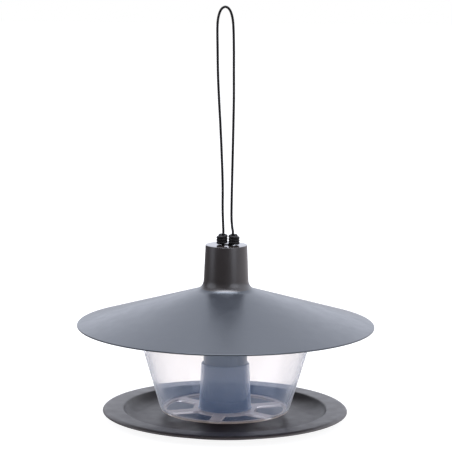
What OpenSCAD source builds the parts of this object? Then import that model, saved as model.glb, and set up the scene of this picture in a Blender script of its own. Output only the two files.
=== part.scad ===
// Hanging bird feeder: a dished seed tray, a clear seed hopper that stands on the tray's seat,
// and a cone roof whose central tube slides down through the hopper and locks on the tray's post.
// Millimetres, +Z up, origin on the ground at the middle of the tray.

/* [Whole feeder] */
// Height of the feeder without its cord
body_h = 150.5; // [145:0.5:159]

/* [Tray] */
// Radius of the tray's outer edge
tray_r = 104.5; // [96:0.5:112]
// Radius where the flange turns down into the well
lip_r = 87; // [82:0.5:92]
// Radius of the flat base under the well
base_r = 75.5; // [70:0.5:79]
// Height of the lip above the ground
lip_z = 9.4; // [8:0.2:12]
// Height of the flange's outer edge above the ground
edge_z = 9.6; // [8:0.1:12]
// Thickness of the flange's outer edge
edge_t = 2.5; // [2:0.1:3.4]
// Width of the rounding on the flange's outer edge
edge_soft = 4.6; // [3:0.1:6]
// How far the rounding leans in at its top
edge_lean = 0.9; // [0.2:0.1:1.4]
// Size of the small rounding under the flange's outer edge
edge_under = 0.5; // [0.3:0.1:1]
// Wall of the tray
tray_wall = 2; // [1.6:0.1:2.6]
// Blend between the floor and the foot of the seat
foot_blend = 3; // [1:0.5:4]

/* [Seat and post] */
// Radius of the seat that carries the hopper
seat_r = 23; // [22.4:0.2:25]
// Height of the seat above the ground
seat_z = 7.4; // [6:0.2:11]
// Height of the collar that centres the hopper on the seat
collar_h = 9.7; // [6:0.1:14]
// Height of the post above the collar
post_h = 20; // [16:0.5:26]
// Wall of the post
post_wall = 2; // [1.6:0.1:2.6]
// Chamfer on the edges of the seat, the collar and the post
lead_in = 0.5; // [0.2:0.1:0.8]

/* [Hopper] */
// Outer radius of the hopper at its foot
hopper_base_r = 54.6; // [50:0.2:57]
// Outer radius of the hopper at its rim
hopper_top_r = 77; // [70:0.5:80]
// How far the hopper's rim reaches above the roof's lower edge
hopper_tuck = 3.2; // [2:0.2:8]
// Wall of the hopper
hopper_wall = 1.6; // [1.2:0.1:2.2]
// Thickness of the hopper's floor
floor_t = 2; // [1.5:0.1:3]
// Radius of the rounded corner at the hopper's foot
corner_r = 3.6; // [2.6:0.2:4.4]
// Outer radius of the clear tube at the floor
core_base_r = 22.4; // [21.8:0.1:23]
// Height of the clear tube above the hopper's foot
core_h = 40.6; // [34:0.2:56]
// Wall of the clear tube
core_wall = 1.5; // [1.2:0.1:1.9]
// Height of the sloped shoulder at the clear tube's mouth
mouth_h = 1.2; // [0.6:0.1:2]

/* [Floor windows] */
// Number of windows, and of spokes between them
window_count = 6; // [4:1:8]
// Width of a spoke
spoke_w = 9.6; // [6:0.2:12]
// Outer radius of the hub that the spokes leave
hub_r = 27; // [25:0.5:31]
// Width of the ring outside the windows
ring_w = 4.4; // [4:0.2:7]
// Radius of a window's corners
window_corner_r = 3; // [2:0.25:4]
// Angle of the first spoke
spoke_turn = 20; // [0:1:59]

/* [Roof] */
// Radius of the roof's edge
roof_r = 126.5; // [114:0.5:140]
// Thickness of the roof
roof_wall = 1.8; // [1.5:0.1:2]
// Height of the roof's edge
rim_h = 1.1; // [1:0.1:2]
// Width of the flat face under the roof's edge
rim_w = 4; // [3.5:0.1:6]
// Rise of the cone from the top of its edge to the foot of the neck
cone_rise = 31.6; // [27:0.2:38]
// Length of the blend between the cone and the neck
neck_blend = 7.6; // [4:0.2:10]
// Radius of the neck at its top
neck_top_r = 17.7; // [17.2:0.1:18.4]
// How much wider than the tube the neck is at its foot
neck_flare = 0.4; // [0.2:0.1:1]
// Thickness of the plate that closes the neck
plate_t = 2.2; // [1.8:0.1:3]
// Radius of the hole for the cord in the plate
cord_hole_r = 4.2; // [4:0.1:5]
// Rounding of the neck's top edge and the roof's edge
edge_round = 0.4; // [0.2:0.1:0.5]

/* [Roof tube] */
// Outer radius of the tube under the roof
tube_r = 18.6; // [18.2:0.1:19]
// Wall of the tube and of the neck
tube_wall = 1.8; // [1.4:0.1:2.2]
// How far the tube reaches below the roof's lower edge
tube_drop = 63.8; // [54:0.2:76]

/* [Bayonet lock] */
// Height of a lug above the tube's lower end
lug_up = 8; // [6:0.5:10]
// Height of a lug
lug_h = 4; // [3:0.5:5]
// Angle that a lug covers
lug_angle = 16; // [12:1:20]
// How far a lug stands in from the tube
lug_depth = 2; // [1.4:0.1:2.4]
// Angle that the roof turns to lock
lock_turn = 35; // [25:1:45]

/* [Cord] */
// Diameter of the cord
cord_d = 1.8; // [1.6:0.05:1.9]
// Distance of each strand from the middle where it passes the plate
strand_x = 2.2; // [2:0.05:2.4]
// Radius of the disc that anchors the cord under the plate
disc_r = 12; // [9:0.5:14]
// Thickness of the anchor disc
disc_t = 2.5; // [2:0.1:4]

/* [Clearances] */
// Gap between the roof's tube and the mouth of the clear tube
tube_gap = 0.35; // [0.25:0.05:0.6]
// Gap between the post and the inside of the roof's tube
post_gap = 0.4; // [0.3:0.05:0.6]
// Gap between the collar and the inside of the clear tube
collar_gap = 0.35; // [0.3:0.05:0.6]
// Gap above and below a lug in its slot
slot_gap = 0.4; // [0.3:0.05:0.8]
// Angle left free on each side of a lug in its slot
slot_gap_angle = 2; // [1:0.5:3]
// Gap around each strand in the anchor disc
strand_gap = 0.2; // [0.15:0.05:0.4]

/* [Hidden] */
$fn = 96;
arc_steps = 10;
cord_sides = 8;
// How far a cutter reaches past the face that it cuts
cut_over = 1;

// Heights that pieces share
shoulder_z = seat_z + collar_h;
post_top = shoulder_z + post_h;
rim_z = shoulder_z + tube_drop;
cone_low_z = rim_z + rim_h;
neck_foot_z = cone_low_z + cone_rise;
plate_top = body_h;
plate_under = plate_top - plate_t;
hopper_top = rim_z + hopper_tuck;
core_top = seat_z + core_h;

// Radii that fit one another
tube_in = tube_r - tube_wall;
post_r = tube_in - post_gap;
post_in = post_r - post_wall;
mouth_in = tube_r + tube_gap;
core_base_in = core_base_r - core_wall;
function core_in(z) = core_base_in + (mouth_in - core_base_in) * (z - seat_z) / core_h;
collar_r = core_in(shoulder_z) - collar_gap;
neck_foot_r = tube_r + neck_flare;
neck_in = neck_top_r - tube_wall;

// Points of an arc about a centre, from one angle to another
function arc(centre, r, from, to, steps = arc_steps) =
    [for (i = [0:steps]) let (a = from + (to - from) * i / steps) centre + r * [cos(a), sin(a)]];
function after_first(points) = [for (i = [1:len(points) - 1]) points[i]];

// Points of a blend from a to b that leaves and arrives along the lines to the corner
function blend(a, corner, b, steps = arc_steps) =
    [for (i = [0:steps]) let (t = i / steps) (1 - t) * (1 - t) * a + 2 * t * (1 - t) * corner + t * t * b];

// A wedge of a ring, or a whole ring
module ring_wedge(r_in, r_out, z_low, z_high, from, to) {
    rotate([0, 0, from])
        rotate_extrude(angle = to - from)
            translate([r_in, z_low])
                square([r_out - r_in, z_high - z_low]);
}

// Tray: the well's arc starts flat at the base and ends at the lip
well_depth = lip_z - tray_wall;
well_r = (pow(lip_r - base_r, 2) + pow(well_depth, 2)) / (2 * well_depth);
well_centre = [base_r, tray_wall + well_r];
under_r = well_r + tray_wall;
lip_round = 1.5;
lip_angle = asin((lip_z - well_centre[1]) / well_r);
lip_start_angle = lip_angle - lip_round * 180 / (PI * well_r);
flange_fall = (lip_z - edge_z) / (tray_r - lip_r);
under_angle = asin((lip_z - tray_wall - well_centre[1]) / under_r);

module tray_section() {
    lip_inside = well_centre + well_r * [cos(lip_start_angle), sin(lip_start_angle)];
    lip_outside = [lip_r + lip_round, lip_z - flange_fall * lip_round];
    edge_in = tray_r - edge_soft;
    edge_low = edge_z - edge_t;
    edge_mid = [tray_r, edge_low + edge_under];
    polygon(concat(
        [[seat_r - tray_wall, 0]],
        arc(well_centre, under_r, -90, under_angle),
        blend([tray_r - edge_under, edge_low], [tray_r, edge_low], edge_mid),
        after_first(blend(edge_mid, [tray_r - edge_lean, edge_z], [edge_in, edge_z])),
        blend(lip_outside, [lip_r, lip_z], lip_inside),
        after_first(arc(well_centre, well_r, lip_start_angle, -90)),
        blend([seat_r + foot_blend, tray_wall], [seat_r, tray_wall], [seat_r, tray_wall + foot_blend]),
        [[seat_r, seat_z - lead_in], [seat_r - lead_in, seat_z], [collar_r, seat_z]],
        [[collar_r, shoulder_z - lead_in], [collar_r - lead_in, shoulder_z], [post_r, shoulder_z]],
        [[post_r, post_top - lead_in], [post_r - lead_in, post_top], [post_in, post_top]],
        [[post_in, shoulder_z - tray_wall], [collar_r - tray_wall, shoulder_z - tray_wall]],
        [[collar_r - tray_wall, seat_z - tray_wall], [seat_r - tray_wall, seat_z - tray_wall]]
    ));
}

// One slot of the lock: a way in from the post's top, then a short way round
module lock_slot() {
    slot_low = shoulder_z + lug_up - slot_gap;
    slot_high = shoulder_z + lug_up + lug_h + slot_gap;
    side = lug_angle / 2 + slot_gap_angle;
    inner = post_in - cut_over;
    outer = post_r + cut_over;
    ring_wedge(inner, outer, slot_low, post_top + cut_over, -side, side);
    ring_wedge(inner, outer, slot_low, slot_high, -side, lock_turn + side);
}

module feeding_tray() {
    color([0.16, 0.16, 0.18])
        difference() {
            rotate_extrude()
                tray_section();
            for (turn = [0, 180])
                rotate([0, 0, turn])
                    lock_slot();
        }
}

// Hopper: a tapered shell, a floor with windows and a clear tube, which are one moulding
wall_slope = (hopper_top_r - hopper_base_r) / (hopper_top - seat_z);
function hopper_out(z) = hopper_base_r + wall_slope * (z - seat_z);
floor_top = seat_z + floor_t;
core_top_out = mouth_in + core_wall;
function core_out(z) = core_base_r + (core_top_out - core_base_r) * (z - seat_z) / core_h;
inner_corner_r = corner_r - hopper_wall;
core_foot_r = 1.5;
core_foot_z = floor_top + core_foot_r;
shell_foot_z = floor_top + corner_r;
clear_colour = [0.8, 0.86, 0.92, 0.4];

module hopper_shell() {
    foot_out = hopper_out(shell_foot_z);
    rim_centre = [hopper_top_r - hopper_wall / 2, hopper_top - hopper_wall / 2];
    color(clear_colour)
        rotate_extrude()
            polygon(concat(
                [[foot_out - hopper_wall, shell_foot_z], [foot_out, shell_foot_z]],
                arc(rim_centre, hopper_wall / 2, 0, 180)
            ));
}

module floor_section() {
    corner_out_z = seat_z + corner_r;
    corner_in_z = floor_top + inner_corner_r;
    floor_in_r = hopper_out(floor_top) - hopper_wall;
    foot_out = hopper_out(shell_foot_z);
    core_r = core_out(floor_top);
    polygon(concat(
        [[core_base_in, seat_z]],
        blend(
            [hopper_base_r - corner_r, seat_z],
            [hopper_base_r, seat_z],
            [hopper_out(corner_out_z), corner_out_z]
        ),
        [[foot_out, shell_foot_z], [foot_out - hopper_wall, shell_foot_z]],
        blend(
            [hopper_out(corner_in_z) - hopper_wall, corner_in_z],
            [floor_in_r, floor_top],
            [floor_in_r - inner_corner_r, floor_top]
        ),
        blend([core_r + core_foot_r, floor_top], [core_r, floor_top], [core_out(core_foot_z), core_foot_z]),
        [[core_in(core_foot_z), core_foot_z]]
    ));
}

// Outline of one window about the +X axis: two arcs, two straight sides, four round corners
window_half = 180 / window_count;
window_out_r = hopper_base_r - ring_w;
function side_gap() = spoke_w / 2 + window_corner_r;
function corner_angle(r) = window_half - asin(side_gap() / r);
function corner_centre(r) = r * [cos(corner_angle(r)), sin(corner_angle(r))];
function mirror_points(points) = [for (i = [len(points) - 1:-1:0]) [points[i][0], -points[i][1]]];
function window_outline() = let (
    inner = hub_r + window_corner_r,
    outer = window_out_r - window_corner_r,
    side_normal = window_half + 90,
    upper = concat(
        arc([0, 0], window_out_r, 0, corner_angle(outer)),
        arc(corner_centre(outer), window_corner_r, corner_angle(outer), side_normal),
        arc(corner_centre(inner), window_corner_r, side_normal, corner_angle(inner) + 180),
        arc([0, 0], hub_r, corner_angle(inner), 0)
    )
) concat(upper, mirror_points(upper));

module hopper_floor() {
    color(clear_colour)
        difference() {
            rotate_extrude()
                floor_section();
            for (i = [0:window_count - 1])
                rotate([0, 0, spoke_turn + (i + 0.5) * 360 / window_count])
                    translate([0, 0, seat_z - cut_over])
                        linear_extrude(floor_t + 2 * cut_over)
                            polygon(window_outline());
        }
}

module hopper_tube() {
    color(clear_colour)
        rotate_extrude()
            polygon([
                [core_in(core_foot_z), core_foot_z],
                [core_out(core_foot_z), core_foot_z],
                [core_out(core_top - mouth_h), core_top - mouth_h],
                [core_top_out - core_wall / 2, core_top],
                [mouth_in, core_top]
            ]);
}

// Roof: a cone, a neck with its closing plate and a tube, which are one moulding
function cone_z(r) = cone_low_z + cone_rise * (roof_r - r) / (roof_r - neck_foot_r);
blend_r = neck_foot_r + neck_blend;
neck_blend_z = neck_foot_z + neck_blend;
tube_top = cone_z(tube_r) - roof_wall;
neck_rise = plate_under - neck_foot_z;
function neck_inside(z) = tube_in + (neck_in - tube_in) * (z - neck_foot_z) / neck_rise;
roof_colour = [0.45, 0.47, 0.51];

module cone_section() {
    near_edge = roof_r - edge_round;
    rim_in = roof_r - rim_w;
    polygon(concat(
        [[tube_in, tube_top], [tube_r, tube_top], [rim_in, cone_z(rim_in) - roof_wall], [rim_in, rim_z]],
        blend([near_edge, rim_z], [roof_r, rim_z], [roof_r, rim_z + edge_round]),
        blend([roof_r, cone_low_z - edge_round], [roof_r, cone_low_z], [near_edge, cone_z(near_edge)]),
        blend([blend_r, cone_z(blend_r)], [neck_foot_r, neck_foot_z], [neck_foot_r, neck_blend_z]),
        [[neck_inside(neck_blend_z), neck_blend_z], [tube_in, neck_foot_z]]
    ));
}

module roof_cone() {
    color(roof_colour)
        rotate_extrude()
            cone_section();
}

module neck_section() {
    top_low = plate_top - edge_round;
    top_in = neck_top_r - edge_round;
    polygon(concat(
        [[neck_inside(neck_blend_z), neck_blend_z], [neck_foot_r, neck_blend_z]],
        blend([neck_top_r, top_low], [neck_top_r, plate_top], [top_in, plate_top]),
        [[cord_hole_r, plate_top], [cord_hole_r, plate_under], [neck_in, plate_under]]
    ));
}

module roof_neck() {
    color(roof_colour)
        rotate_extrude()
            neck_section();
}

module roof_tube() {
    lug_z = shoulder_z + lug_up;
    lug_in = tube_in - lug_depth;
    lug_out = tube_in + tube_wall / 2;
    side = lug_angle / 2;
    color(roof_colour)
        union() {
            ring_wedge(tube_in, tube_r, shoulder_z, tube_top, 0, 360);
            for (turn = [0, 180])
                rotate([0, 0, turn])
                    ring_wedge(lug_in, lug_out, lug_z, lug_z + lug_h, -side, side);
        }
}

// Cord: routes are measured from the middle of the plate's top
loop_route = [
    [-2.7, -0.5, 9], [-2.7, -0.5, 13], [-3.4, -0.6, 29.7], [-3.6, -0.6, 51.9], [-4.7, -1, 79.1],
    [-6, -1.2, 103.3], [-7.3, -1.2, 124.5], [-8.3, -1, 144.7], [-8.8, -0.6, 165.8], [-9.1, -0.2, 183],
    [-8.4, 0, 192], [-6.2, 0.2, 198.3], [-2.6, 0.4, 200.7], [1, 0.6, 198.3], [3.3, 0.8, 192],
    [4.3, 1, 183], [4.8, 1.2, 165.8], [5, 1.4, 144.6], [5.2, 1.4, 124.5], [5, 1.2, 103.3],
    [4.7, 1, 79.1], [4.3, 0.6, 51.9], [4.1, 0, 25.7], [4.7, -1.2, 16], [5.4, -2.3, 11.8], [5.4, -2.3, 9]
];
left_knot = [-3.7, -1.2, 4.7];
right_knot = [6.4, -3, 4.75];
left_exit = [[-4.4, -2.4, 2.3], [-3.7, -2.1, 1.5], [-2.8, -1.2, 0.6], [-2.3, -0.3, -0.4]];
right_exit = [[6.6, -4, 2.4], [5.7, -4, 1.5], [4.5, -3.2, 1.35], [3.4, -1.8, 1.1], [2.6, -0.7, 0.1]];
tail_stub = 4;

// A barrel knot, in cord diameters about its middle: the strand goes in at the top, turns at the foot,
// winds up around itself in a coil and goes down through the coil again
coil_r = 1.9;
coil_pitch = 1.22;
coil_turns = 2.5;
coil_steps = 8;
knot_in = [
    [-0.55, 0.4, 0.9], [-0.55, 0.4, 0], [-0.45, 0.45, -0.85], [0.1, 0.75, -1.55], [0.85, 1.2, -1.82],
    [1.6, 0.95, -1.75]
];
knot_out = [
    [-1.75, 0.85, 1.65], [-1.05, 1.65, 1.72], [0.1, 1.75, 1.8], [0.9, 1.05, 1.86], [0.98, 0.15, 1.72],
    [0.6, -0.35, 1.2], [0.4, -0.48, 0.4], [0.35, -0.5, -0.5]
];
function coil_point(turn) =
    [coil_r * cos(360 * turn), -coil_r * sin(360 * turn), coil_pitch * (turn - coil_turns / 2)];
knot_coil = [for (i = [0:coil_turns * coil_steps]) coil_point(i / coil_steps)];
function knot_points(at, side) =
    [for (p = concat(knot_in, knot_coil, knot_out)) at + cord_d * [side * p[0], p[1], p[2]]];
// From a lower knot's middle up to what it bears on, and from one lower knot to the next
knot_top = 2.5;
knot_pitch = 4.9;

// A smooth line through the points of a route
function smooth_point(a, b, c, d, t) =
    0.5 * (2 * b + (c - a) * t + (2 * a - 5 * b + 4 * c - d) * t * t + (3 * b - a - 3 * c + d) * t * t * t);
function smooth(route, steps) = let (
    last = len(route) - 1,
    ends = concat([2 * route[0] - route[1]], route, [2 * route[last] - route[last - 1]])
) concat(
    [for (i = [1:last]) for (k = [0:steps - 1])
        smooth_point(ends[i - 1], ends[i], ends[i + 1], ends[i + 2], k / steps)],
    [route[last]]
);

// A tube with flat ends: rings along a line, turned no more than the line turns
function unit(v) = v / norm(v);
function across(v, along) = unit(v - (v * along) * along);
function headings(line) = let (last = len(line) - 1)
    [for (i = [0:last]) unit(line[min(i + 1, last)] - line[max(i - 1, 0)])];
function sides_of(ahead) = [
    for (i = 0, v = across([0, 1, 0], ahead[0]); i < len(ahead);
        i = i + 1, v = i < len(ahead) ? across(v, ahead[i]) : v) v
];
function ring(centre, along, side, r) =
    [for (k = [0:cord_sides - 1]) let (a = 360 * k / cord_sides)
        centre + r * (cos(a) * side + sin(a) * cross(along, side))];

module cord_tube(route, steps) {
    line = smooth(route, steps);
    ahead = headings(line);
    side = sides_of(ahead);
    rings = len(line);
    points = [for (i = [0:rings - 1]) each ring(line[i], ahead[i], side[i], cord_d / 2)];
    wall = [for (i = [0:rings - 2]) for (k = [0:cord_sides - 1])
        let (a = i * cord_sides + k, b = i * cord_sides + (k + 1) % cord_sides)
            each [[a, a + cord_sides, b], [b, a + cord_sides, b + cord_sides]]];
    start = [for (k = [1:cord_sides - 2]) [0, k, k + 1]];
    end_ring = (rings - 1) * cord_sides;
    finish = [for (k = [1:cord_sides - 2]) [end_ring, end_ring + k + 1, end_ring + k]];
    translate([0, 0, plate_top])
        color([0.06, 0.06, 0.07])
            polyhedron(points, concat(wall, start, finish));
}

module hanging_cord() {
    cord_tube(loop_route, 3);
}

// A knot on the plate, from the loop's end down to the underside of the plate
module upper_knot(loop_end, at, side, exit, strand) {
    cord_tube(concat(
        [loop_end, [loop_end[0], loop_end[1], loop_end[2] - cord_d / 2]],
        knot_points(at, side),
        exit,
        [[strand, 0, -plate_t + cord_d / 2], [strand, 0, -plate_t]]
    ), 2);
}

module upper_knot_left() {
    upper_knot(loop_route[0], left_knot, -1, left_exit, -strand_x);
}

module upper_knot_right() {
    upper_knot(loop_route[len(loop_route) - 1], right_knot, 1, right_exit, strand_x);
}

// The strand through the anchor disc, with a stopper knot under it: the second knot bears on the first
module cord_tail(strand, side, place) {
    knot_z = -plate_t - disc_t - (knot_top + knot_pitch * place) * cord_d;
    at = [strand - side * knot_in[0][0] * cord_d, -knot_in[0][1] * cord_d, knot_z];
    knot = knot_points(at, side);
    out = knot[len(knot) - 1] - [0, 0, 2 * cord_d];
    cord_tube(concat(
        [[strand, 0, -plate_t], [strand, 0, knot_z + knot_top * cord_d]],
        knot,
        [out, out - [0, 0, tail_stub]]
    ), 2);
}

module cord_tail_left() {
    cord_tail(-strand_x, -1, 0);
}

module cord_tail_right() {
    cord_tail(strand_x, 1, 1);
}

module anchor_disc() {
    color([0.3, 0.3, 0.32])
        translate([0, 0, plate_under - disc_t])
            difference() {
                cylinder(r = disc_r, h = disc_t);
                for (x = [-strand_x, strand_x])
                    translate([x, 0, -cut_over])
                        cylinder(r = cord_d / 2 + strand_gap, h = disc_t + 2 * cut_over);
            }
}

feeding_tray();
hopper_shell();
hopper_floor();
hopper_tube();
roof_cone();
roof_neck();
roof_tube();
hanging_cord();
upper_knot_left();
upper_knot_right();
cord_tail_left();
cord_tail_right();
anchor_disc();
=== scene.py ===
"""A hanging bird feeder: satin cone roof, clear hopper, dark tray and a braided cord loop."""
import math

import bmesh
import bpy
import numpy as np
from mathutils import Euler, Matrix, Vector


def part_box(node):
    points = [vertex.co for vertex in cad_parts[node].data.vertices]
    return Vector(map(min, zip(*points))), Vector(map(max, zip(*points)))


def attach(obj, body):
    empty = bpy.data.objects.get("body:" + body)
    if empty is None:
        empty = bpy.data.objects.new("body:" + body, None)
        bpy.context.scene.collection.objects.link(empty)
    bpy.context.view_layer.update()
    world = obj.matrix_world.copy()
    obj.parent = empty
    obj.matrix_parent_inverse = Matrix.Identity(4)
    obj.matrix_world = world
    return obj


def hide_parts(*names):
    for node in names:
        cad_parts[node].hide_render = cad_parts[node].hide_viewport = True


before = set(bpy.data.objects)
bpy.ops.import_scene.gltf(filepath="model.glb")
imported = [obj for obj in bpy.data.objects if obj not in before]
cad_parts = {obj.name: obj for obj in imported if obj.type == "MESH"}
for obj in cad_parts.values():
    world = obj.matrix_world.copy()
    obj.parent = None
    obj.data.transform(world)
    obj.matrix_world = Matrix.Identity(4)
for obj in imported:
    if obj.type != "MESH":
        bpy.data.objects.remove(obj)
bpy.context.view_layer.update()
scene = bpy.context.scene
scene.view_settings.view_transform = "Standard"

MM = 0.001

# Sizes that the frame gives
_, tray_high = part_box("feeding_tray")
_, shell_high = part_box("hopper_shell")
floor_low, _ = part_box("hopper_floor")
cone_low, cone_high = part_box("roof_cone")
_, neck_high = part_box("roof_neck")
tube_low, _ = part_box("roof_tube")
POST_TOP = tray_high[2]
HOPPER_TOP = shell_high[2]
HOPPER_TOP_R = shell_high[0]
SEAT_Z = floor_low[2]
RIM_Z = cone_low[2]
ROOF_R = cone_high[0]
PLATE_TOP = neck_high[2]
SHOULDER_Z = tube_low[2]

# Tray
TRAY_R = 104.5 * MM
LIP_R = 87 * MM
BASE_R = 75.5 * MM
LIP_Z = 9.4 * MM
EDGE_Z = 9.6 * MM
EDGE_T = 2.5 * MM
EDGE_SOFT = 4.6 * MM
EDGE_LEAN = 0.9 * MM
EDGE_UNDER = 0.5 * MM
TRAY_WALL = 2 * MM
LIP_ROUND = 1.5 * MM
FOOT_BLEND = 3 * MM
SEAT_R = 23 * MM
COLLAR_R = 20.08 * MM
POST_R = 16.4 * MM
POST_WALL = 2 * MM
LEAD_IN = 0.5 * MM

# Part-turn lock of the roof's tube on the tray's post
LUG_UP = 8 * MM
LUG_H = 4 * MM
LUG_DEPTH = 2 * MM
LUG_ANGLE = 16
LOCK_TURN = 35
SLOT_GAP = 0.4 * MM
SLOT_GAP_ANGLE = 2
LOCK_SIDES = (0, 180)

# Hopper
HOPPER_BASE_R = 54.6 * MM
HOPPER_WALL = 1.6 * MM
FLOOR_T = 2 * MM
CORNER_R = 3.6 * MM
CORE_BASE_R = 22.4 * MM
CORE_TOP_IN = 18.95 * MM
CORE_TOP = SEAT_Z + 40.6 * MM
CORE_WALL = 1.5 * MM
CORE_FOOT = 1.5 * MM
MOUTH_H = 1.2 * MM
WINDOW_COUNT = 6
SPOKE_W = 9.6 * MM
HUB_R = 27 * MM
RING_W = 4.4 * MM
WINDOW_CORNER_R = 3 * MM
SPOKE_TURN = 20

# Roof
RIM_H = 1.1 * MM
RIM_W = 4 * MM
ROOF_WALL = 1.8 * MM
CONE_RISE = 31.6 * MM
TUBE_R = 18.6 * MM
TUBE_WALL = 1.8 * MM
TUBE_ROOT = 1 * MM
NECK_FOOT_R = TUBE_R + 0.4 * MM
NECK_TOP_R = 17.7 * MM
NECK_BLEND = 7.6 * MM
PLATE_T = 2.2 * MM
CORD_HOLE_R = 4.2 * MM
EDGE_ROUND = 0.4 * MM

# Cord and the disc that it is knotted under
CORD_D = 1.8 * MM
STRAND_X = 2.2 * MM
DISC_T = 2.5 * MM

# How finely the shapes are drawn: steps about the axis, along each kind of curve, and angles left sharp
TURN_STEPS = 256
LEAD_STEPS = 4
RIM_STEPS = 5
EDGE_STEPS = 6
CORNER_STEPS = 8
SLOT_STEPS = 16
CURVE_STEPS = 12
BROAD_STEPS = 20
WELL_STEPS = 24
CONE_STEPS = 40
SHARP_EDGE = 40
SHARP_BRAID = 60
# How far a cutter reaches past what it cuts, and how far two cutters are kept off a shared face
CUT_OVER = 1 * MM
CUT_APART = 0.01 * MM

# Camera, fitted to the photograph
CAMERA_PLACE = (-0.47 * MM, -1.8, 0.4379)
CAMERA_PITCH = math.radians(8.575)
CAMERA_ROLL = math.radians(0.513)
CAMERA_LENS = 171.34
CAMERA_SENSOR = 36
CAMERA_REACH = 50

# Light of the surround, the overlit white that shows through the hopper, and the ground in reflections
SKY = (0.96, 1.0, 1.12, 1)
THROUGH = (1.34, 1.27, 1.235, 1)
GROUND = (1.0, 0.95, 1.0, 1)
WHITE = (1, 1, 1, 1)
FILL_STRENGTH = 0.9
FLOOR_REACH = 6
FLOOR_GREY = (0.25, 0.25, 0.25, 1)
FLOOR_GLOW = 0.9
LAMP_AIM = Vector((0, 0, 0.1))

# Two tones of each plastic, and the tint of its gloss
ROOF_TONES = ((0.015, 0.0165, 0.0205), (0.019, 0.0205, 0.025))
# The neck's tones are painted light: warmer than the roof's to stand for the warmer, dimmer light on the neck
NECK_PAINTED_WARM_TONES = ((0.02, 0.0155, 0.0145), (0.024, 0.0195, 0.018))
TRAY_TONES = ((0.009, 0.004, 0.005), (0.012, 0.0065, 0.0075))
DISC_TONES = ((0.03, 0.03, 0.032), (0.04, 0.04, 0.042))
CORD_TONES = ((0.002, 0.0015, 0.0015), (0.008, 0.006, 0.006))
ROOF_TINT = (0.86, 0.94, 1)
TRAY_TINT = (1, 0.95, 0.9)
# Patterns of the plastics and the cord: how many to the metre, and the depth of a bump
DRIFT_SCALE = 22
MOTTLE_SCALE = 90
GRAIN_SCALE = 2400
GRAIN_STRENGTH = 0.09
GRAIN_DEPTH = 0.04 * MM
FLOW_SCALE = 60
WAVE_SCALE = 35
WAVE_STRENGTH = 0.05
WAVE_DEPTH = 0.4 * MM
FIBRE_SCALE = 5200
FIBRE_STRENGTH = 0.4
FIBRE_DEPTH = 0.04 * MM
# Part of a noise pattern that holds nearly all of it
NOISE_SPAN = (0.3, 0.7)
# Clear plastic: its own tint, what lamp light keeps on its way through, and how the haze grows at a slant
CLEAR_TINT = (1, 0.99, 0.985, 1)
CLEAR_SHADOW = (0.9, 0.92, 0.95, 1)
CLEAR_IOR = 1.06
SLANT_POWER = 3
SLANT_SHARE = 0.5


def make_camera():
    data = bpy.data.cameras.new("camera")
    data.lens = CAMERA_LENS
    data.sensor_width = CAMERA_SENSOR
    data.sensor_fit = "HORIZONTAL"
    data.clip_end = CAMERA_REACH
    camera = bpy.data.objects.new("camera", data)
    scene.collection.objects.link(camera)
    look = Euler((math.pi / 2 - CAMERA_PITCH, 0, 0)).to_matrix() @ Matrix.Rotation(CAMERA_ROLL, 3, "Z")
    camera.matrix_world = Matrix.Translation(CAMERA_PLACE) @ look.to_4x4()
    scene.camera = camera


def arc(centre, radius, start, end, steps=CURVE_STEPS):
    """Points of an arc about centre, angles in degrees."""
    turns = np.radians(np.linspace(start, end, steps + 1))
    return [(centre[0] + radius * math.cos(t), centre[1] + radius * math.sin(t)) for t in turns]


def blend(first, corner, last, steps=CURVE_STEPS):
    """Points of a curve from first to last that is drawn towards the corner."""
    first, corner, last = (np.array(p, float) for p in (first, corner, last))
    points = []
    for t in np.linspace(0, 1, steps + 1):
        points.append(tuple((1 - t) ** 2 * first + 2 * t * (1 - t) * corner + t * t * last))
    return points


def soften(mesh, sharp=SHARP_EDGE):
    """Shades a mesh smooth, apart from edges that turn by more than the sharp angle."""
    mesh.shade_smooth()
    mesh.set_sharp_from_angle(angle=math.radians(sharp))


def new_object(name, verts, faces, sharp=SHARP_EDGE):
    mesh = bpy.data.meshes.new(name)
    mesh.from_pydata([tuple(v) for v in verts], [], faces)
    mesh.validate()
    soften(mesh, sharp)
    made = bpy.data.objects.new(name, mesh)
    scene.collection.objects.link(made)
    return made


def lathe(name, outline, segments=TURN_STEPS, start=0, end=360):
    """A solid of revolution from a closed outline of (radius, height) points, whole or a wedge."""
    whole = end - start >= 360
    count = len(outline)
    stations = segments if whole else segments + 1
    verts = []
    for s in range(stations):
        turn = math.radians(start + (end - start) * s / segments)
        verts += [(r * math.cos(turn), r * math.sin(turn), z) for r, z in outline]
    faces = []
    for s in range(segments):
        here = s * count
        there = (s + 1) % stations * count
        for i in range(count):
            j = (i + 1) % count
            faces.append((here + i, there + i, there + j, here + j))
    if not whole:
        faces.append(tuple(range(count)))
        faces.append(tuple(reversed(range(segments * count, stations * count))))
    return new_object(name, verts, faces)


def box_outline(r_in, r_out, z_low, z_high):
    return [(r_in, z_low), (r_out, z_low), (r_out, z_high), (r_in, z_high)]


def cut(target, cutters):
    """Takes the cutters out of the target, for good."""
    for cutter in cutters:
        step = target.modifiers.new("cut", "BOOLEAN")
        step.operation = "DIFFERENCE"
        step.solver = "EXACT"
        step.object = cutter
    settle(target)
    for cutter in cutters:
        bpy.data.objects.remove(cutter, do_unlink=True)


def settle(target):
    """Applies the target's modifiers to its mesh."""
    shown = target.evaluated_get(bpy.context.evaluated_depsgraph_get())
    mesh = bpy.data.meshes.new_from_object(shown)
    target.modifiers.clear()
    target.data = mesh
    mesh.name = target.name
    soften(mesh)


def join(target, others):
    """Adds the others' meshes to the target's."""
    made = bmesh.new()
    for piece in [target] + others:
        made.from_mesh(piece.data)
    made.to_mesh(target.data)
    made.free()
    for piece in others:
        bpy.data.objects.remove(piece, do_unlink=True)


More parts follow.
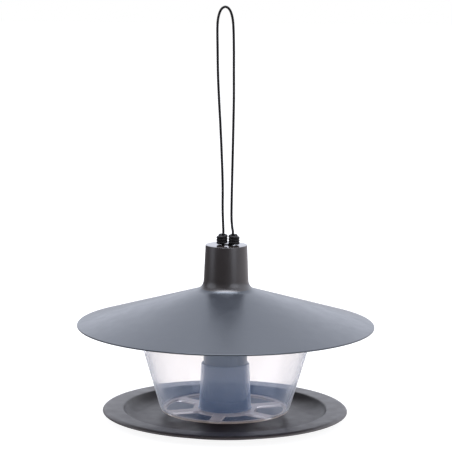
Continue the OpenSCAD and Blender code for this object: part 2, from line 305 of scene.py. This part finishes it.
# Tray
def tray_outline():
    depth = LIP_Z - TRAY_WALL
    well_r = ((LIP_R - BASE_R) ** 2 + depth**2) / (2 * depth)
    centre = (BASE_R, TRAY_WALL + well_r)
    under_r = well_r + TRAY_WALL
    lip_angle = math.degrees(math.asin((LIP_Z - centre[1]) / well_r))
    lip_start = lip_angle - math.degrees(LIP_ROUND / well_r)
    under_angle = math.degrees(math.asin((LIP_Z - TRAY_WALL - centre[1]) / under_r))
    fall = (LIP_Z - EDGE_Z) / (TRAY_R - LIP_R)
    inside = arc(centre, well_r, lip_start, lip_start)[0]
    outside = (LIP_R + LIP_ROUND, LIP_Z - fall * LIP_ROUND)
    post_in = POST_R - POST_WALL
    collar_in = COLLAR_R - TRAY_WALL
    seat_in = SEAT_R - TRAY_WALL
    shoulder_under = SHOULDER_Z - TRAY_WALL
    seat_under = SEAT_Z - TRAY_WALL
    edge_in = TRAY_R - EDGE_SOFT
    edge_low = EDGE_Z - EDGE_T
    edge_mid = (TRAY_R, edge_low + EDGE_UNDER)
    foot = TRAY_WALL + FOOT_BLEND

    def lead_in(r, z):
        return blend((r, z - LEAD_IN), (r, z), (r - LEAD_IN, z), LEAD_STEPS)

    return (
        [(seat_in, 0)]
        + arc(centre, under_r, -90, under_angle, BROAD_STEPS)
        + blend((TRAY_R - EDGE_UNDER, edge_low), (TRAY_R, edge_low), edge_mid, EDGE_STEPS)
        + blend(edge_mid, (TRAY_R - EDGE_LEAN, EDGE_Z), (edge_in, EDGE_Z), BROAD_STEPS)[1:]
        + blend(outside, (LIP_R, LIP_Z), inside)
        + arc(centre, well_r, lip_start, -90, WELL_STEPS)[1:]
        + blend((SEAT_R + FOOT_BLEND, TRAY_WALL), (SEAT_R, TRAY_WALL), (SEAT_R, foot))
        + lead_in(SEAT_R, SEAT_Z)
        + [(COLLAR_R, SEAT_Z)]
        + lead_in(COLLAR_R, SHOULDER_Z)
        + [(POST_R, SHOULDER_Z)]
        + lead_in(POST_R, POST_TOP)
        + [(post_in, POST_TOP), (post_in, shoulder_under)]
        + [(collar_in, shoulder_under), (collar_in, seat_under)]
        + [(seat_in, seat_under)]
    )


def lock_slots():
    """Cutters for the two slots of the post: a way in from the top and a way round."""
    low = SHOULDER_Z + LUG_UP - SLOT_GAP
    high = SHOULDER_Z + LUG_UP + LUG_H + SLOT_GAP
    side = LUG_ANGLE / 2 + SLOT_GAP_ANGLE
    inner = POST_R - POST_WALL - CUT_OVER
    outer = POST_R + CUT_OVER
    way_in = box_outline(inner, outer, low, POST_TOP + CUT_OVER)
    way_round = box_outline(inner, outer, low - CUT_APART, high)
    cutters = []
    for turn in LOCK_SIDES:
        cutters.append(lathe("slot_in", way_in, CORNER_STEPS, turn - side, turn + side))
        cutters.append(lathe("slot_round", way_round, SLOT_STEPS, turn - side, turn + LOCK_TURN + side))
    return cutters


def make_tray():
    tray = lathe("tray", tray_outline())
    cut(tray, lock_slots())
    return tray


# Hopper
def hopper_outline():
    slope = (HOPPER_TOP_R - HOPPER_BASE_R) / (HOPPER_TOP - SEAT_Z)
    core_slope = (CORE_TOP_IN + CORE_WALL - CORE_BASE_R) / (CORE_TOP - SEAT_Z)
    floor_top = SEAT_Z + FLOOR_T
    inner_corner = CORNER_R - HOPPER_WALL

    def wall(z):
        return HOPPER_BASE_R + slope * (z - SEAT_Z)

    def core(z):
        return CORE_BASE_R + core_slope * (z - SEAT_Z)

    outer_z = SEAT_Z + CORNER_R
    inner_z = floor_top + inner_corner
    floor_r = wall(floor_top) - HOPPER_WALL
    inner_wall = (wall(inner_z) - HOPPER_WALL, inner_z)
    core_r = core(floor_top)
    foot_z = floor_top + CORE_FOOT
    mouth_z = CORE_TOP - MOUTH_H
    mouth_mid = (CORE_TOP_IN + CORE_WALL / 2, CORE_TOP)
    rim = (HOPPER_TOP_R - HOPPER_WALL / 2, HOPPER_TOP - HOPPER_WALL / 2)
    return (
        [(CORE_BASE_R - CORE_WALL, SEAT_Z)]
        + blend((HOPPER_BASE_R - CORNER_R, SEAT_Z), (HOPPER_BASE_R, SEAT_Z), (wall(outer_z), outer_z))
        + arc(rim, HOPPER_WALL / 2, 0, 180)
        + blend(inner_wall, (floor_r, floor_top), (floor_r - inner_corner, floor_top))
        + blend((core_r + CORE_FOOT, floor_top), (core_r, floor_top), (core(foot_z), foot_z), EDGE_STEPS)
        + blend((core(mouth_z), mouth_z), (core(CORE_TOP), CORE_TOP), mouth_mid, EDGE_STEPS)
        + [(CORE_TOP_IN, CORE_TOP)]
    )


def window_outline():
    """One window about the +X axis: two arcs, two straight sides and four round corners."""
    half = 180 / WINDOW_COUNT
    out_r = HOPPER_BASE_R - RING_W
    gap = SPOKE_W / 2 + WINDOW_CORNER_R

    def corner_angle(r):
        return half - math.degrees(math.asin(gap / r))

    def corner(r):
        turn = math.radians(corner_angle(r))
        return (r * math.cos(turn), r * math.sin(turn))

    inner = HUB_R + WINDOW_CORNER_R
    outer = out_r - WINDOW_CORNER_R
    upper = (
        arc((0, 0), out_r, 0, corner_angle(outer))[1:]
        + arc(corner(outer), WINDOW_CORNER_R, corner_angle(outer), half + 90, CORNER_STEPS)[1:]
        + arc(corner(inner), WINDOW_CORNER_R, half + 90, corner_angle(inner) + 180, CORNER_STEPS)
        + arc((0, 0), HUB_R, corner_angle(inner), 0)[1:]
    )
    lower = [(x, -y) for x, y in reversed(upper[:-1])]
    return upper + lower + [(out_r, 0)]


def window_cutters():
    outline = window_outline()
    count = len(outline)
    low = SEAT_Z - CUT_OVER
    high = SEAT_Z + FLOOR_T + CUT_OVER
    sides = [(i, (i + 1) % count, (i + 1) % count + count, i + count) for i in range(count)]
    ends = [tuple(reversed(range(count))), tuple(range(count, 2 * count))]
    cutters = []
    for k in range(WINDOW_COUNT):
        turn = math.radians(SPOKE_TURN + (k + 0.5) * 360 / WINDOW_COUNT)
        along, across = math.cos(turn), math.sin(turn)
        flat = [(x * along - y * across, x * across + y * along) for x, y in outline]
        verts = [(x, y, low) for x, y in flat] + [(x, y, high) for x, y in flat]
        cutters.append(new_object("window", verts, sides + ends))
    return cutters


def make_hopper():
    hopper = lathe("hopper", hopper_outline())
    cut(hopper, window_cutters())
    return hopper


# Roof
def cone_z(r):
    return RIM_Z + RIM_H + CONE_RISE * (ROOF_R - r) / (ROOF_R - NECK_FOOT_R)


def roof_outline():
    tube_in = TUBE_R - TUBE_WALL
    neck_in = NECK_TOP_R - TUBE_WALL
    foot_z = RIM_Z + RIM_H + CONE_RISE
    foot = (NECK_FOOT_R, foot_z)
    foot_high = (NECK_FOOT_R, foot_z + NECK_BLEND)
    edge_top = RIM_Z + RIM_H
    blend_r = NECK_FOOT_R + NECK_BLEND
    near_edge = ROOF_R - EDGE_ROUND
    edge_over = (near_edge, cone_z(near_edge))
    plate_edge = NECK_TOP_R - EDGE_ROUND
    plate_round = PLATE_TOP - EDGE_ROUND
    plate_lead = PLATE_TOP - LEAD_IN
    plate_under = PLATE_TOP - PLATE_T
    hole_lead = CORD_HOLE_R + LEAD_IN
    root_z = cone_z(TUBE_R) - ROOF_WALL
    under_radii = np.linspace(TUBE_R + TUBE_ROOT, ROOF_R - RIM_W, CONE_STEPS)
    over_radii = np.linspace(ROOF_R - 2 * EDGE_ROUND, blend_r + EDGE_ROUND, CONE_STEPS)
    under = [(r, cone_z(r) - ROOF_WALL) for r in under_radii]
    over = [(r, cone_z(r)) for r in over_radii]
    return (
        [(tube_in, SHOULDER_Z), (TUBE_R, SHOULDER_Z)]
        + blend((TUBE_R, root_z - TUBE_ROOT), (TUBE_R, root_z), under[0], LEAD_STEPS)
        + under[1:]
        + [(ROOF_R - RIM_W, RIM_Z)]
        + blend((near_edge, RIM_Z), (ROOF_R, RIM_Z), (ROOF_R, RIM_Z + EDGE_ROUND), RIM_STEPS)
        + blend((ROOF_R, edge_top - EDGE_ROUND), (ROOF_R, edge_top), edge_over, RIM_STEPS)
        + over
        + blend((blend_r, cone_z(blend_r)), foot, foot_high, BROAD_STEPS)
        + blend((NECK_TOP_R, plate_round), (NECK_TOP_R, PLATE_TOP), (plate_edge, PLATE_TOP), RIM_STEPS)
        + blend((hole_lead, PLATE_TOP), (CORD_HOLE_R, PLATE_TOP), (CORD_HOLE_R, plate_lead), LEAD_STEPS)
        + [(CORD_HOLE_R, plate_under), (neck_in, plate_under), (tube_in, foot_z)]
    )


def make_roof():
    roof = lathe("roof", roof_outline())
    tube_in = TUBE_R - TUBE_WALL
    lug_z = SHOULDER_Z + LUG_UP
    side = LUG_ANGLE / 2
    lug = box_outline(tube_in - LUG_DEPTH, tube_in + TUBE_WALL / 2, lug_z, lug_z + LUG_H)
    join(roof, [lathe("lug", lug, CORNER_STEPS, turn - side, turn + side) for turn in LOCK_SIDES])
    return roof


# Cord: points in millimetres from the middle of the plate's top
LOOP_ROUTE = [
    (-2.7, -0.5, 9), (-2.7, -0.5, 13), (-3.4, -0.6, 29.7), (-3.6, -0.6, 51.9), (-4.7, -1, 79.1),
    (-6, -1.2, 103.3), (-7.3, -1.2, 124.5), (-8.3, -1, 144.7), (-8.8, -0.6, 165.8), (-9.1, -0.2, 183),
    (-8.4, 0, 192), (-6.2, 0.2, 198.3), (-2.6, 0.4, 200.7), (1, 0.6, 198.3), (3.3, 0.8, 192),
    (4.3, 1, 183), (4.8, 1.2, 165.8), (5, 1.4, 144.6), (5.2, 1.4, 124.5), (5, 1.2, 103.3),
    (4.7, 1, 79.1), (4.3, 0.6, 51.9), (4.1, 0, 25.7), (4.7, -1.2, 16), (5.4, -2.3, 11.8), (5.4, -2.3, 9),
]
LEFT_KNOT = (-3.7, -1.2, 4.7)
RIGHT_KNOT = (6.4, -3, 4.75)
LEFT_EXIT = [(-4.4, -2.4, 2.3), (-3.7, -2.1, 1.5), (-2.8, -1.2, 0.6), (-2.3, -0.3, -0.4)]
RIGHT_EXIT = [(6.6, -4, 2.4), (5.7, -4, 1.5), (4.5, -3.2, 1.35), (3.4, -1.8, 1.1), (2.6, -0.7, 0.1)]
TAIL_STUB = 4
# A barrel knot, in cord diameters about its middle: in at the top, a coil from the foot up, down through it
COIL_R = 1.9
COIL_PITCH = 1.22
COIL_TURNS = 2.5
COIL_STEPS = 8
KNOT_IN = [
    (-0.55, 0.4, 0.9), (-0.55, 0.4, 0), (-0.45, 0.45, -0.85), (0.1, 0.75, -1.55), (0.85, 1.2, -1.82),
    (1.6, 0.95, -1.75),
]
KNOT_OUT = [
    (-1.75, 0.85, 1.65), (-1.05, 1.65, 1.72), (0.1, 1.75, 1.8), (0.9, 1.05, 1.86), (0.98, 0.15, 1.72),
    (0.6, -0.35, 1.2), (0.4, -0.48, 0.4), (0.35, -0.5, -0.5),
]
KNOT_TOP = 2.5
KNOT_PITCH = 4.9
# The braid: strands each way round, length of one turn, depth and shape of its relief
BRAID_STRANDS = 4
BRAID_TURN = 5.2 * MM
BRAID_RELIEF = 0.16 * MM
BRAID_FLATTER = 0.7
BRAID_DIP = 0.45
# How finely a cord is drawn: steps between two points of its route, sides, and length of a step along it
ROUTE_STEPS = 24
BRAID_SIDES = 24
BRAID_STEP = 0.21 * MM
# The way that a cord's first ring of points is turned
RING_START = (0, 1, 0.01)
# How much fuller the soft cord looks than its core, more so in a knot, and the length over which it fills out
CORD_FULLER = 1.12
KNOT_FULLER = 1.45
KNOT_FILL = 4 * MM


def knot_points(at, side):
    d = CORD_D / MM
    coil = []
    for turn in np.arange(0, COIL_TURNS + 0.5 / COIL_STEPS, 1 / COIL_STEPS):
        a = 2 * math.pi * turn
        coil.append((COIL_R * math.cos(a), -COIL_R * math.sin(a), COIL_PITCH * (turn - COIL_TURNS / 2)))
    return [(at[0] + side * x * d, at[1] + y * d, at[2] + z * d) for x, y, z in KNOT_IN + coil + KNOT_OUT]


def upper_knot_route(loop_end, at, side, way_out, strand):
    half = CORD_D / MM / 2
    below = (loop_end[0], loop_end[1], loop_end[2] - half)
    under = -PLATE_T / MM
    into = [(strand, 0, under + half), (strand, 0, under)]
    return [loop_end, below] + knot_points(at, side) + way_out + into


def tail_route(strand, side, place):
    d = CORD_D / MM
    under = -PLATE_T / MM
    knot_z = under - DISC_T / MM - (KNOT_TOP + KNOT_PITCH * place) * d
    in_x, in_y, _ = KNOT_IN[0]
    knot = knot_points((strand - side * in_x * d, -in_y * d, knot_z), side)
    x, y, z = knot[-1]
    stub = [(x, y, z - 2 * d), (x, y, z - 2 * d - TAIL_STUB)]
    return [(strand, 0, under), (strand, 0, knot_z + KNOT_TOP * d)] + knot + stub


def smooth(route):
    """A smooth line through a route's points, in metres."""
    points = np.array(route, float)
    ends = np.vstack([2 * points[0] - points[1], points, 2 * points[-1] - points[-2]])
    line = []
    for i in range(1, len(ends) - 2):
        a, b, c, d = ends[i - 1 : i + 3]
        for t in np.arange(ROUTE_STEPS) / ROUTE_STEPS:
            cubic = (3 * b - a - 3 * c + d) * t**3
            line.append(0.5 * (2 * b + (c - a) * t + (2 * a - 5 * b + 4 * c - d) * t**2 + cubic))
    line.append(points[-1])
    return np.array(line) * MM + (0, 0, PLATE_TOP)


def even(line, step):
    """The same line with points at an even step, and how far along it each of them is."""
    run = np.concatenate([[0], np.cumsum(np.linalg.norm(np.diff(line, axis=0), axis=1))])
    stations = np.linspace(0, run[-1], max(2, round(run[-1] / step) + 1))
    return np.column_stack([np.interp(stations, run, line[:, k]) for k in range(3)]), stations


def unit(v):
    return v / np.linalg.norm(v)


def braid_height(turn, along):
    """Relief of a braid from 0 to 1: strands of two hands that pass over and under in turn."""
    right = BRAID_STRANDS * (turn - along / BRAID_TURN)
    left = BRAID_STRANDS * (turn + along / BRAID_TURN)
    over = (np.floor(right) + np.floor(left)) % 2 < 0.5
    across = np.where(over, right, left) % 1
    onward = np.where(over, left, right) % 1
    return np.sin(np.pi * across) ** BRAID_FLATTER * (1 - BRAID_DIP + BRAID_DIP * np.sin(np.pi * onward))


def tube_faces(rings):
    """Faces of a closed tube: sides between its rings of points, and fans to a last point at each end."""
    faces = []
    for i in range(rings - 1):
        for k in range(BRAID_SIDES):
            a = i * BRAID_SIDES + k
            b = i * BRAID_SIDES + (k + 1) % BRAID_SIDES
            faces.append((a, b, b + BRAID_SIDES, a + BRAID_SIDES))
    first, last = rings * BRAID_SIDES, rings * BRAID_SIDES + 1
    top = (rings - 1) * BRAID_SIDES
    for k in range(BRAID_SIDES):
        n = (k + 1) % BRAID_SIDES
        faces.append((first, n, k))
        faces.append((last, top + k, top + n))
    return faces


def braided(name, route, fuller=CORD_FULLER):
    """A braided tube along a route, closed and fuller between its ends, with its line and length."""
    points, run = even(smooth(route), BRAID_STEP)
    ahead = np.gradient(points, axis=0)
    ahead /= np.linalg.norm(ahead, axis=1)[:, None]
    side = unit(np.cross(ahead[0], RING_START))
    turns = np.arange(BRAID_SIDES) / BRAID_SIDES
    angle = 2 * np.pi * turns
    inward = np.clip(np.minimum(run, run[-1] - run) / KNOT_FILL, 0, 1)
    swell = CORD_FULLER + (fuller - CORD_FULLER) * inward * inward * (3 - 2 * inward)
    rings = []
    for point, along, s, full in zip(points, ahead, run, swell):
        side = unit(side - side.dot(along) * along)
        other = np.cross(along, side)
        r = full * (CORD_D / 2 + BRAID_RELIEF * (braid_height(turns, s) - 0.5))
        rings.append(point + (r * np.cos(angle))[:, None] * side + (r * np.sin(angle))[:, None] * other)
    verts = np.vstack(rings + [points[:1], points[-1:]])
    return new_object(name, verts, tube_faces(len(rings)), SHARP_BRAID), points, run[-1]


# Materials
class Graph:
    """The nodes of a material or of the world; most methods add a node and give its output."""

    def __init__(self, tree):
        self.nodes = tree.nodes
        self.links = tree.links

    def fill(self, node, inputs):
        """Sets a node's inputs: another node's output is linked, anything else is a constant."""
        for name, value in inputs.items():
            if isinstance(value, bpy.types.NodeSocket):
                self.links.new(value, node.inputs[name])
            else:
                node.inputs[name].default_value = value
        return node

    def add(self, kind, inputs):
        return self.fill(self.nodes.new(kind), inputs)

    def show(self, output, surface):
        self.links.new(surface, self.nodes[output].inputs["Surface"])

    def place(self, kind="Object"):
        return self.nodes.new("ShaderNodeTexCoord").outputs[kind]

    def noise(self, scale, detail):
        inputs = {"Vector": self.place(), "Scale": scale, "Detail": detail}
        return self.add("ShaderNodeTexNoise", inputs).outputs["Fac"]

    def spread(self, pattern, ends):
        """A noise pattern spread between two values."""
        made = self.add("ShaderNodeMapRange", self.mapping(pattern, NOISE_SPAN, ends))
        return made.outputs["Result"]

    def step(self, value, span, ends):
        """A smooth step over a span of the value, from one end to the other."""
        made = self.add("ShaderNodeMapRange", self.mapping(value, span, ends))
        made.interpolation_type = "SMOOTHSTEP"
        return made.outputs["Result"]

    def mapping(self, value, span, ends):
        return {
            "Value": value, "From Min": span[0], "From Max": span[1], "To Min": ends[0], "To Max": ends[1],
        }

    def maths(self, operation, first, second):
        made = self.add("ShaderNodeMath", {0: first, 1: second})
        made.operation = operation
        return made.outputs["Value"]

    def times(self, first, second):
        return self.maths("MULTIPLY", first, second)

    def tone(self, share, tones):
        """A colour between two tones."""
        made = self.nodes.new("ShaderNodeMix")
        made.data_type = "RGBA"
        self.fill(made, {"Factor": share, "A": (*tones[0], 1), "B": (*tones[1], 1)})
        return made.outputs["Result"]

    def bump(self, height, strength, depth):
        inputs = {"Height": height, "Strength": strength, "Distance": depth}
        return self.add("ShaderNodeBump", inputs).outputs["Normal"]

    def diffuse(self, colour):
        return self.add("ShaderNodeBsdfDiffuse", {"Color": (*colour, 1)}).outputs["BSDF"]

    def emission(self, colour, strength=1.0):
        return self.add("ShaderNodeEmission", {"Color": colour, "Strength": strength}).outputs["Emission"]

    def background(self, colour, strength=1.0):
        return self.add("ShaderNodeBackground", {"Color": colour, "Strength": strength}).outputs["Background"]

    def mix(self, share, first, second):
        """The first shader with a share of the second."""
        return self.add("ShaderNodeMixShader", {"Fac": share, 1: first, 2: second}).outputs["Shader"]

    def by_ray(self, surface, others):
        """The surface, but another shader for each kind of ray that is named."""
        path = self.nodes.new("ShaderNodeLightPath")
        for ray, other in others.items():
            surface = self.mix(path.outputs[ray], surface, other)
        return surface


def new_material(name):
    made = bpy.data.materials.new(name)
    made.use_nodes = True
    return made, Graph(made.node_tree), made.node_tree.nodes["Principled BSDF"]


def satin_plastic(name, tones, rough, specular=0.5, tint=(1, 1, 1)):
    """Moulded plastic with a fine eroded grain and a slow drift of tone and gloss."""
    made, graph, shader = new_material(name)
    grain = graph.noise(GRAIN_SCALE, detail=2)
    graph.fill(shader, {
        "Base Color": graph.tone(graph.noise(DRIFT_SCALE, detail=3), tones),
        "Roughness": graph.spread(graph.noise(MOTTLE_SCALE, detail=3), rough),
        "Normal": graph.bump(grain, GRAIN_STRENGTH, GRAIN_DEPTH),
        "Specular IOR Level": specular,
        "Specular Tint": (*tint, 1),
    })
    return made


def clear_plastic(name, milk, milk_share, slant):
    """Clear moulded plastic with a milky haze; lamp light passes through to what is behind it."""
    made, graph, shader = new_material(name)
    graph.fill(shader, {
        "Base Color": CLEAR_TINT,
        "Transmission Weight": 1.0,
        "IOR": CLEAR_IOR,
        "Coat Weight": 0.7,
        "Coat Roughness": 0.1,
        "Roughness": graph.spread(graph.noise(FLOW_SCALE, detail=2), (0.02, 0.05)),
        "Normal": graph.bump(graph.noise(WAVE_SCALE, detail=1), WAVE_STRENGTH, WAVE_DEPTH),
    })
    hazy = graph.mix(milk_share, shader.outputs["BSDF"], graph.diffuse(milk))
    # A wall seen at a slant is looked through for longer, so that more of its haze shows
    facing = graph.add("ShaderNodeLayerWeight", {"Blend": 0.5}).outputs["Facing"]
    steep = graph.maths("POWER", facing, SLANT_POWER)
    slanting = graph.mix(graph.times(steep, SLANT_SHARE), hazy, graph.diffuse(slant))
    through = graph.add("ShaderNodeBsdfTransparent", {"Color": CLEAR_SHADOW}).outputs["BSDF"]
    surface = graph.by_ray(slanting, {"Is Shadow Ray": through, "Is Diffuse Ray": through})
    graph.show("Material Output", surface)
    return made


def cord_fabric(name):
    """Black polyester braid: fine fibres and a little sheen."""
    made, graph, shader = new_material(name)
    fibre = graph.noise(FIBRE_SCALE, detail=2)
    graph.fill(shader, {
        "Base Color": graph.tone(fibre, CORD_TONES),
        "Roughness": 0.55,
        "Specular IOR Level": 0.2,
        "Sheen Weight": 0.05,
        "Sheen Roughness": 0.4,
        "Normal": graph.bump(fibre, FIBRE_STRENGTH, FIBRE_DEPTH),
    })
    return made


def dress(piece, made, body, slot, *nodes_replaced):
    piece.data.materials.clear()
    piece.data.materials.append(made)
    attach(piece, body)
    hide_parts(*nodes_replaced)


def repaint(piece, made, chosen):
    """Gives another material to the faces whose middle is chosen by its radius and height."""
    piece.data.materials.append(made)
    index = len(piece.data.materials) - 1
    for face in piece.data.polygons:
        if chosen(math.hypot(face.center.x, face.center.y), face.center.z):
            face.material_index = index


# Stage: white floor and surround, soft lamps
def make_floor():
    corners = [(x * FLOOR_REACH, y * FLOOR_REACH, 0) for x, y in ((-1, -1), (1, -1), (1, 1), (-1, 1))]
    floor = new_object("floor", corners, [(0, 1, 2, 3)])
    made, graph, shader = new_material("floor_white")
    graph.fill(shader, {
        "Base Color": FLOOR_GREY,
        "Roughness": 0.9,
        "Specular IOR Level": 0,
        "Emission Color": WHITE,
        "Emission Strength": FLOOR_GLOW,
    })
    # In reflections the ground is dark, as under a feeder that hangs, and lighter to the right and behind
    place = graph.add("ShaderNodeSeparateXYZ", {"Vector": graph.place()}).outputs
    front = graph.step(place["Y"], (-0.9, -0.3), (0.2, 1.0))
    left = graph.step(place["X"], (-0.4, 0.8), (0.2, 1.1))
    far = graph.step(place["Y"], (0.05, 0.25), (0.0, 1.0))
    far_right = graph.step(place["X"], (-0.45, -0.2), (0.0, 1.0))
    lightest = graph.maths("MAXIMUM", graph.times(front, left), graph.times(far, far_right))
    surface = graph.by_ray(shader.outputs["BSDF"], {
        "Is Glossy Ray": graph.emission(GROUND, lightest),
        "Is Diffuse Ray": graph.emission(SKY),
        "Is Transmission Ray": graph.emission(THROUGH),
    })
    graph.show("Material Output", surface)
    floor.data.materials.append(made)


def make_world():
    world = bpy.data.worlds.new("surround")
    scene.world = world
    world.use_nodes = True
    graph = Graph(world.node_tree)
    # Reflections see a dark room on the camera's side, a dimmer wall on the left, less light low and overhead
    way = graph.add("ShaderNodeSeparateXYZ", {"Vector": graph.place("Generated")}).outputs
    front = graph.step(way["Y"], (-0.85, -0.15), (0.1, 1.0))
    left = graph.step(way["X"], (-0.8, -0.35), (0.15, 1.0))
    low = graph.step(way["Z"], (-0.02, 0.13), (0.4, 1.55))
    overhead = graph.step(way["Z"], (0.45, 0.8), (1.0, 0.75))
    room = graph.times(graph.times(front, left), graph.times(low, overhead))
    fill = graph.fill(graph.nodes["Background"], {"Color": SKY, "Strength": FILL_STRENGTH})
    surface = graph.by_ray(fill.outputs["Background"], {
        "Is Camera Ray": graph.background(WHITE),
        "Is Transmission Ray": graph.background(THROUGH),
        "Is Glossy Ray": graph.background(SKY, room),
    })
    graph.show("World Output", surface)


def make_lamp(name, place, size, power):
    data = bpy.data.lights.new(name, "AREA")
    data.shape = "DISK"
    data.size = size
    data.color = SKY[:3]
    data.energy = power
    lamp = bpy.data.objects.new(name, data)
    scene.collection.objects.link(lamp)
    away = Vector(place) - LAMP_AIM
    lamp.matrix_world = Matrix.Translation(place) @ away.to_track_quat("Z", "Y").to_matrix().to_4x4()


make_camera()

strand = STRAND_X / MM
left_route = upper_knot_route(LOOP_ROUTE[0], LEFT_KNOT, -1, LEFT_EXIT, -strand)
right_route = upper_knot_route(LOOP_ROUTE[-1], RIGHT_KNOT, 1, RIGHT_EXIT, strand)
loop, loop_line, loop_length = braided("cord_loop", LOOP_ROUTE)
upper_left, _, _ = braided("knot_left", left_route, KNOT_FULLER)
upper_right, _, _ = braided("knot_right", right_route, KNOT_FULLER)
tail_left, _, _ = braided("tail_left", tail_route(-strand, -1, 0))
tail_right, _, _ = braided("tail_right", tail_route(strand, 1, 1))
fabric = cord_fabric("black_braid")
dress(loop, fabric, "hanger", "cord", "hanging_cord")
dress(upper_left, fabric, "hanger", "cord", "upper_knot_left")
dress(upper_right, fabric, "hanger", "cord", "upper_knot_right")
dress(tail_left, fabric, "hanger", "cord", "cord_tail_left")
dress(tail_right, fabric, "hanger", "cord", "cord_tail_right")

tray = make_tray()
tray_plastic = satin_plastic("tray_satin", TRAY_TONES, rough=(0.43, 0.51), specular=0.68, tint=TRAY_TINT)
dress(tray, tray_plastic, "tray", "tray_plastic", "feeding_tray")
# The flange around the well is rubbed smoother than the well
rubbed = satin_plastic("tray_rubbed", TRAY_TONES, rough=(0.4, 0.48), specular=1.0, tint=TRAY_TINT)
repaint(tray, rubbed, lambda r, z: r > LIP_R)

hopper = make_hopper()
clear = clear_plastic("hopper_clear", milk=(0.38, 0.56, 0.92), milk_share=0.075, slant=(1, 0.97, 0.94))
dress(hopper, clear, "hopper", "clear_plastic", "hopper_shell", "hopper_floor", "hopper_tube")
# The floor with its ring and spokes is milkier than the walls, and the tube hazier
milky = clear_plastic("hopper_milky", milk=(1, 0.78, 0.64), milk_share=0.3, slant=(1, 0.82, 0.7))
hazy_tube = clear_plastic("hopper_hazy", milk=(0.17, 0.21, 0.3), milk_share=0.22, slant=(0.8, 0.82, 0.88))
milky_top = SEAT_Z + FLOOR_T + 0.2 * MM
repaint(hopper, milky, lambda r, z: z < milky_top)
repaint(hopper, hazy_tube, lambda r, z: z >= milky_top and r < HUB_R)

roof = make_roof()
roof_plastic = satin_plastic("roof_satin", ROOF_TONES, rough=(0.28, 0.33), specular=0.7, tint=ROOF_TINT)
dress(roof, roof_plastic, "roof", "roof_plastic", "roof_cone", "roof_neck", "roof_tube")
# The flat top of the neck is polished. The neck and its top get a warmer tone than the cone, which is the
# same plastic: painted light for the warmer, dimmer light on the neck
polished = satin_plastic("roof_polished", NECK_PAINTED_WARM_TONES, rough=(0.12, 0.16), specular=0.8)
neck_painted_warm = satin_plastic("roof_painted_warm", NECK_PAINTED_WARM_TONES, rough=(0.28, 0.33), specular=0.7)
plate_low = PLATE_TOP - EDGE_ROUND / 2
repaint(roof, polished, lambda r, z: z > plate_low)
repaint(roof, neck_painted_warm, lambda r, z: cone_z(NECK_FOOT_R) < z <= plate_low)

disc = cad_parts["anchor_disc"]
disc.data.materials.clear()
disc.data.materials.append(satin_plastic("disc_matt", DISC_TONES, rough=(0.5, 0.6)))

make_floor()
make_world()
make_lamp("lamp_top", place=(0, 0, 1.65), size=1.3, power=38)
make_lamp("lamp_right", place=(1.05, -1.15, 0.62), size=1.3, power=8)
make_lamp("lamp_left", place=(-1.45, -0.25, 0.62), size=1.4, power=6.5)
